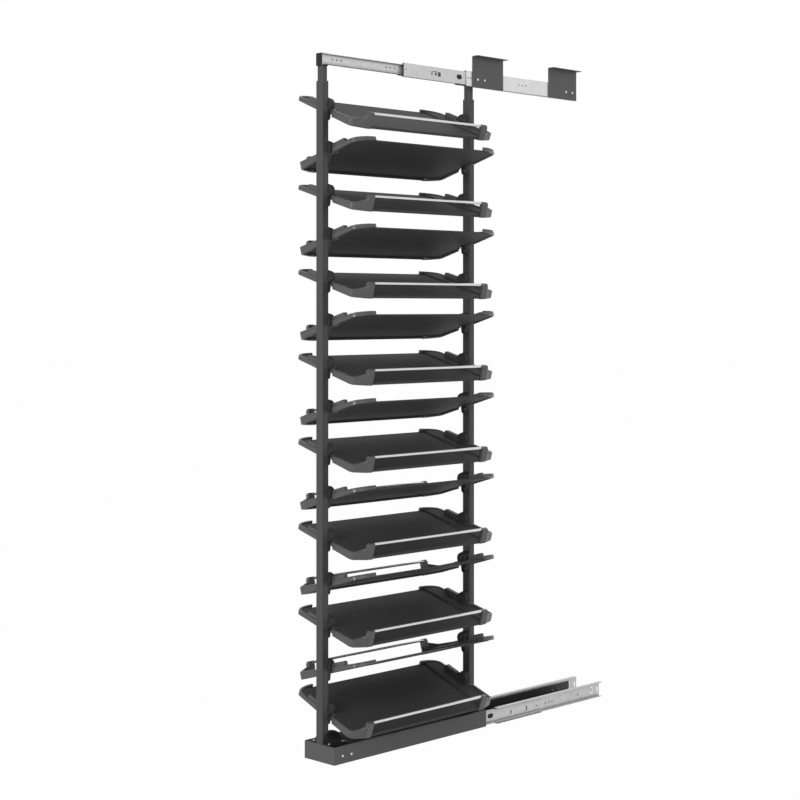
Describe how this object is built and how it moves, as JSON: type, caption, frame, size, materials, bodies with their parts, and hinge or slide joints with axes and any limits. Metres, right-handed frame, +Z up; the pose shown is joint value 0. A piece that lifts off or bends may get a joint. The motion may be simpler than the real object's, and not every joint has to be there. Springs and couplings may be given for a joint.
{
  "type": "pull out shoe rack",
  "caption": "Tall pull out rack for a cabinet: a base on ball slides, telescopic posts, and tilting trays with heel rails.",
  "frame": {"origin": "centre of the floor channel's underside, on the cabinet floor", "axes": "+Z up, +X into the cabinet (the rack is drawn pulled out towards -X), +Y across, away from the side of the top slide"},
  "size_m": [1.1612, 0.2654, 1.974],
  "materials": {
    "grey_paint": "satin powder coat, anthracite grey",
    "base_paint": "satin powder coat, anthracite grey",
    "tray_plastic": "fine grained, dark grey",
    "black_plastic": "moulded, near black",
    "bright_rail": "polished plating",
    "zinc_steel": "bright zinc plated steel sheet",
    "cage_steel": "dark oiled steel"
  },
  "bodies": {
    "cabinet_side": {"floor_channel": "grey_paint", "near_floor_slide_cabinet_member": "zinc_steel", "far_floor_slide_cabinet_member": "zinc_steel"},
    "ceiling_side": {"ceiling_bracket_front": "grey_paint", "ceiling_bracket_rear": "grey_paint", "top_slide_cabinet_member": "zinc_steel"},
    "rack": {"base_housing": "base_paint", "front_outer_post": "grey_paint", "rear_outer_post": "grey_paint", "front_post_foot": "black_plastic", "rear_post_foot": "black_plastic", "near_floor_slide_rack_member": "zinc_steel", "far_floor_slide_rack_member": "zinc_steel"},
    "rack_top": {"front_inner_post": "grey_paint", "rear_inner_post": "grey_paint", "front_post_cap": "black_plastic", "rear_post_cap": "black_plastic", "top_slide_rack_member": "zinc_steel"},
    "near_floor_middle": {"near_floor_slide_middle_member": "zinc_steel"},
    "far_floor_middle": {"far_floor_slide_middle_member": "zinc_steel"},
    "top_middle": {"top_slide_middle_member": "zinc_steel"},
    "near_floor_outer_cage": {"near_floor_slide_outer_cage": "cage_steel"},
    "near_floor_inner_cage": {"near_floor_slide_inner_cage": "cage_steel"},
    "far_floor_outer_cage": {"far_floor_slide_outer_cage": "cage_steel"},
    "far_floor_inner_cage": {"far_floor_slide_inner_cage": "cage_steel"},
    "top_outer_cage": {"top_slide_outer_cage": "cage_steel"},
    "top_inner_cage": {"top_slide_inner_cage": "cage_steel"},
    "tray_01_body": {"tray_01": "tray_plastic", "heel_rail_01": "bright_rail"},
    "tray_02_body": {"tray_02": "tray_plastic", "heel_rail_02": "bright_rail"},
    "tray_03_body": {"tray_03": "tray_plastic", "heel_rail_03": "bright_rail"},
    "tray_04_body": {"tray_04": "tray_plastic", "heel_rail_04": "bright_rail"},
    "tray_05_body": {"tray_05": "tray_plastic", "heel_rail_05": "bright_rail"},
    "tray_06_body": {"tray_06": "tray_plastic", "heel_rail_06": "bright_rail"},
    "tray_07_body": {"tray_07": "tray_plastic", "heel_rail_07": "bright_rail"},
    "tray_08_body": {"tray_08": "tray_plastic", "heel_rail_08": "bright_rail"},
    "tray_09_body": {"tray_09": "tray_plastic", "heel_rail_09": "bright_rail"},
    "tray_10_body": {"tray_10": "tray_plastic", "heel_rail_10": "bright_rail"},
    "tray_11_body": {"tray_11": "tray_plastic", "heel_rail_11": "bright_rail"},
    "tray_12_body": {"tray_12": "tray_plastic", "heel_rail_12": "bright_rail"},
    "tray_13_body": {"tray_13": "tray_plastic", "heel_rail_13": "bright_rail"},
    "tray_14_body": {"tray_14": "tray_plastic", "heel_rail_14": "bright_rail"},
    "tray_15_body": {"tray_15": "tray_plastic", "heel_rail_15": "bright_rail"}
  },
  "joints": [
    {"name": "rack_pull", "type": "slide", "parent": "cabinet_side", "child": "rack", "axis": [1, 0, 0], "range_m": [0, 0.562]},
    {"name": "height_adjust", "type": "slide", "parent": "cabinet_side", "child": "ceiling_side", "axis": [0, 0, 1], "range_m": [-0.026, 0.12]},
    {"name": "post_telescope", "type": "slide", "parent": "rack", "child": "rack_top", "axis": [0, 0, 1], "range_m": [-0.0262, 0.1202]},
    {"name": "near_floor_middle_run", "type": "slide", "parent": "cabinet_side", "child": "near_floor_middle", "axis": [1, 0, 0], "range_m": [-0.0002, 0.2953]},
    {"name": "near_floor_outer_cage_run", "type": "slide", "parent": "cabinet_side", "child": "near_floor_outer_cage", "axis": [1, 0, 0], "range_m": [-0.0002, 0.1478]},
    {"name": "near_floor_inner_cage_run", "type": "slide", "parent": "cabinet_side", "child": "near_floor_inner_cage", "axis": [1, 0, 0], "range_m": [-0.0002, 0.4288]},
    {"name": "far_floor_middle_run", "type": "slide", "parent": "cabinet_side", "child": "far_floor_middle", "axis": [1, 0, 0], "range_m": [-0.0002, 0.2953]},
    {"name": "far_floor_outer_cage_run", "type": "slide", "parent": "cabinet_side", "child": "far_floor_outer_cage", "axis": [1, 0, 0], "range_m": [-0.0002, 0.1478]},
    {"name": "far_floor_inner_cage_run", "type": "slide", "parent": "cabinet_side", "child": "far_floor_inner_cage", "axis": [1, 0, 0], "range_m": [-0.0002, 0.4288]},
    {"name": "top_middle_run", "type": "slide", "parent": "ceiling_side", "child": "top_middle", "axis": [1, 0, 0], "range_m": [-0.0002, 0.2603]},
    {"name": "top_outer_cage_run", "type": "slide", "parent": "ceiling_side", "child": "top_outer_cage", "axis": [1, 0, 0], "range_m": [-0.0002, 0.1303]},
    {"name": "top_inner_cage_run", "type": "slide", "parent": "ceiling_side", "child": "top_inner_cage", "axis": [1, 0, 0], "range_m": [-0.0002, 0.4113]},
    {"name": "tray_01_tilt", "type": "hinge", "parent": "rack", "child": "tray_01_body", "pos_m": [-0.565, 0, 1.7852], "axis": [1, 0, 0], "range_deg": [-42.6, 0]},
    {"name": "tray_02_tilt", "type": "hinge", "parent": "rack", "child": "tray_02_body", "pos_m": [-0.565, 0, 1.6678], "axis": [1, 0, 0], "range_deg": [0, 31]},
    {"name": "tray_03_tilt", "type": "hinge", "parent": "rack", "child": "tray_03_body", "pos_m": [-0.565, 0, 1.5504], "axis": [1, 0, 0], "range_deg": [-31, 0]},
    {"name": "tray_04_tilt", "type": "hinge", "parent": "rack", "child": "tray_04_body", "pos_m": [-0.565, 0, 1.433], "axis": [1, 0, 0], "range_deg": [0, 31]},
    {"name": "tray_05_tilt", "type": "hinge", "parent": "rack", "child": "tray_05_body", "pos_m": [-0.565, 0, 1.3156], "axis": [1, 0, 0], "range_deg": [-31, 0]},
    {"name": "tray_06_tilt", "type": "hinge", "parent": "rack", "child": "tray_06_body", "pos_m": [-0.565, 0, 1.1982], "axis": [1, 0, 0], "range_deg": [0, 31]},
    {"name": "tray_07_tilt", "type": "hinge", "parent": "rack", "child": "tray_07_body", "pos_m": [-0.565, 0, 1.0808], "axis": [1, 0, 0], "range_deg": [-31, 0]},
    {"name": "tray_08_tilt", "type": "hinge", "parent": "rack", "child": "tray_08_body", "pos_m": [-0.565, 0, 0.9634], "axis": [1, 0, 0], "range_deg": [0, 31]},
    {"name": "tray_09_tilt", "type": "hinge", "parent": "rack", "child": "tray_09_body", "pos_m": [-0.565, 0, 0.846], "axis": [1, 0, 0], "range_deg": [-31, 0]},
    {"name": "tray_10_tilt", "type": "hinge", "parent": "rack", "child": "tray_10_body", "pos_m": [-0.565, 0, 0.7286], "axis": [1, 0, 0], "range_deg": [0, 31]},
    {"name": "tray_11_tilt", "type": "hinge", "parent": "rack", "child": "tray_11_body", "pos_m": [-0.565, 0, 0.6112], "axis": [1, 0, 0], "range_deg": [-31, 0]},
    {"name": "tray_12_tilt", "type": "hinge", "parent": "rack", "child": "tray_12_body", "pos_m": [-0.565, 0, 0.4938], "axis": [1, 0, 0], "range_deg": [0, 31]},
    {"name": "tray_13_tilt", "type": "hinge", "parent": "rack", "child": "tray_13_body", "pos_m": [-0.565, 0, 0.3764], "axis": [1, 0, 0], "range_deg": [-31, 0]},
    {"name": "tray_14_tilt", "type": "hinge", "parent": "rack", "child": "tray_14_body", "pos_m": [-0.565, 0, 0.259], "axis": [1, 0, 0], "range_deg": [0, 31]},
    {"name": "tray_15_tilt", "type": "hinge", "parent": "rack", "child": "tray_15_body", "pos_m": [-0.565, 0, 0.1416], "axis": [1, 0, 0], "range_deg": [-42.6, 0]}
  ],
  "couplings": [
    {"joint": "post_telescope", "follows": "height_adjust", "ratio": 1},
    {"joint": "near_floor_middle_run", "follows": "rack_pull", "ratio": 0.52491},
    {"joint": "near_floor_outer_cage_run", "follows": "rack_pull", "ratio": 0.26246},
    {"joint": "near_floor_inner_cage_run", "follows": "rack_pull", "ratio": 0.76246},
    {"joint": "far_floor_middle_run", "follows": "rack_pull", "ratio": 0.52491},
    {"joint": "far_floor_outer_cage_run", "follows": "rack_pull", "ratio": 0.26246},
    {"joint": "far_floor_inner_cage_run", "follows": "rack_pull", "ratio": 0.76246},
    {"joint": "top_middle_run", "follows": "rack_pull", "ratio": 0.46263},
    {"joint": "top_outer_cage_run", "follows": "rack_pull", "ratio": 0.23132},
    {"joint": "top_inner_cage_run", "follows": "rack_pull", "ratio": 0.73132}
  ]
}
